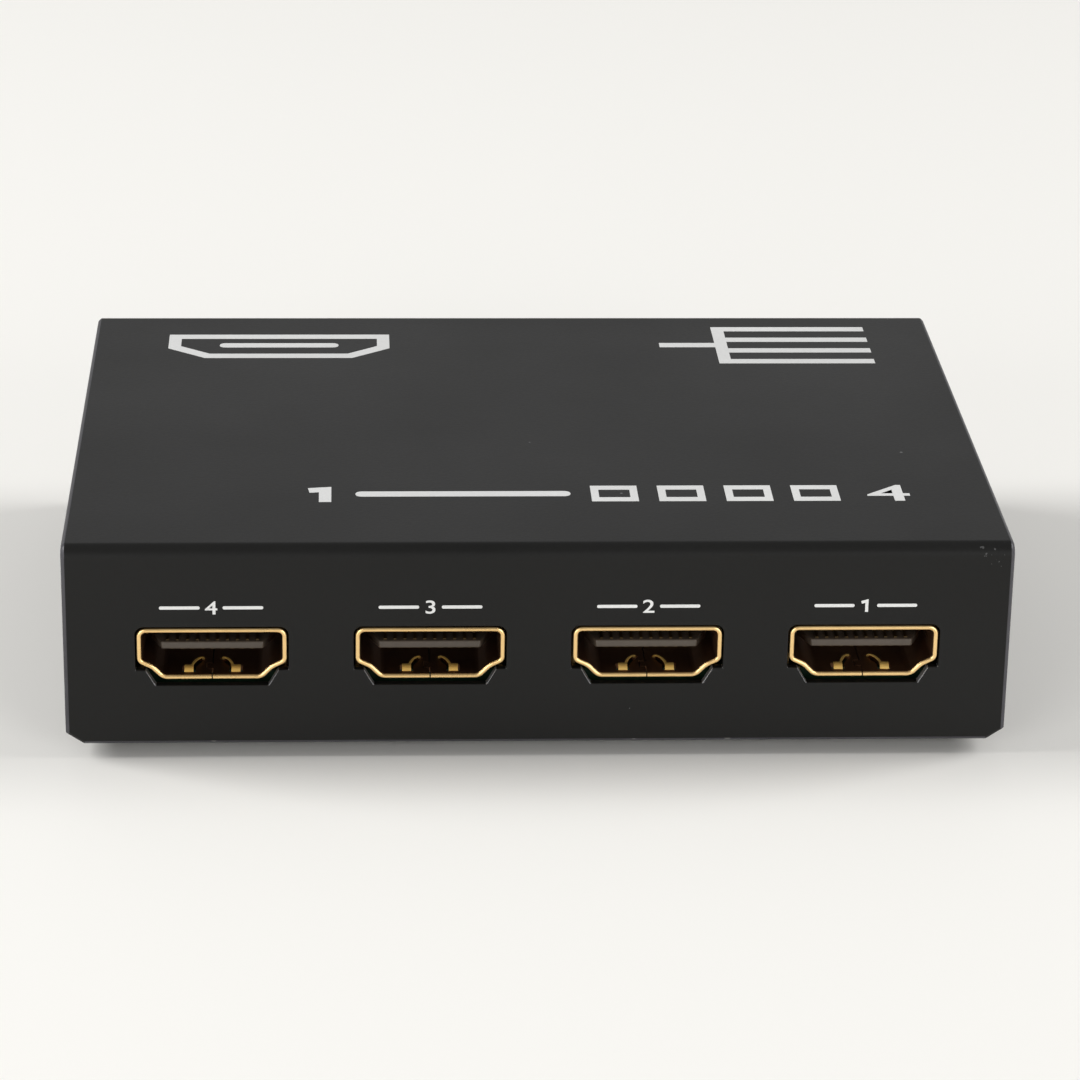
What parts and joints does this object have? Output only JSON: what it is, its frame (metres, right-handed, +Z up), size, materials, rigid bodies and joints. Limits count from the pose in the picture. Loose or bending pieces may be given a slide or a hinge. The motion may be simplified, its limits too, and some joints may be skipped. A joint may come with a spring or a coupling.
{
  "type": "hdmi splitter",
  "caption": "Small sheet-metal video splitter box with a row of output sockets in front, and an input socket, power jack and power light behind.",
  "frame": {"origin": "middle of the footprint, on the surface that the feet stand on", "axes": "+Z up, -Y out of the front panel with the output sockets, +X to the right seen from the front"},
  "size_m": [0.095, 0.0716, 0.023],
  "materials": {
    "painted_steel": "satin dark grey powder paint with a fine texture",
    "foot_rubber": "matte",
    "screw_steel": "black zinc plating",
    "plated_steel": "bright nickel or tin plating",
    "standoff_brass": "turned",
    "board_laminate": "green solder mask",
    "black_moulding": "moulded, slightly satin",
    "lamp_resin": "clear tinted resin",
    "chip_moulding": "fine moulded matte",
    "pad_rubber": "soft matte",
    "sink_aluminium": "extruded, anodised",
    "crystal_can": "bright drawn can",
    "ferrite": "sintered",
    "can_aluminium": "bright drawn can",
    "capacitor_ceramic": "fired ceramic",
    "gold_shell": "gold plated sheet",
    "gold_contact": "gold plated strip"
  },
  "bodies": {
    "root": {"board_screws": "plated_steel", "board_standoffs": "standoff_brass", "bottom_tray": "painted_steel", "capacitor_bases": "chip_moulding", "capacitor_cans": "can_aluminium", "chip_capacitors": "capacitor_ceramic", "chip_resistors": "chip_moulding", "circuit_board": "board_laminate", "clock_crystal": "crystal_can", "cover_screws": "screw_steel", "heat_sink": "sink_aluminium", "input_contacts": "gold_contact", "input_fuse": "chip_moulding", "input_insulator": "black_moulding", "input_shell": "gold_shell", "memory_chip_body": "chip_moulding", "memory_chip_leads": "plated_steel", "output_1_contacts": "gold_contact", "output_1_insulator": "black_moulding", "output_1_shell": "gold_shell", "output_2_contacts": "gold_contact", "output_2_insulator": "black_moulding", "output_2_shell": "gold_shell", "output_3_contacts": "gold_contact", "output_3_insulator": "black_moulding", "output_3_shell": "gold_shell", "output_4_contacts": "gold_contact", "output_4_insulator": "black_moulding", "output_4_shell": "gold_shell", "power_inductor": "ferrite", "power_jack_housing": "black_moulding", "power_jack_pin": "plated_steel", "power_jack_spring": "plated_steel", "power_light_leads": "plated_steel", "power_light_lens": "lamp_resin", "regulator_body": "chip_moulding", "regulator_leads": "plated_steel", "rubber_feet": "foot_rubber", "splitter_chip": "chip_moulding", "surge_arrays": "chip_moulding", "thermal_pad": "pad_rubber", "top_cover": "painted_steel"}
  },
  "joints": []
}
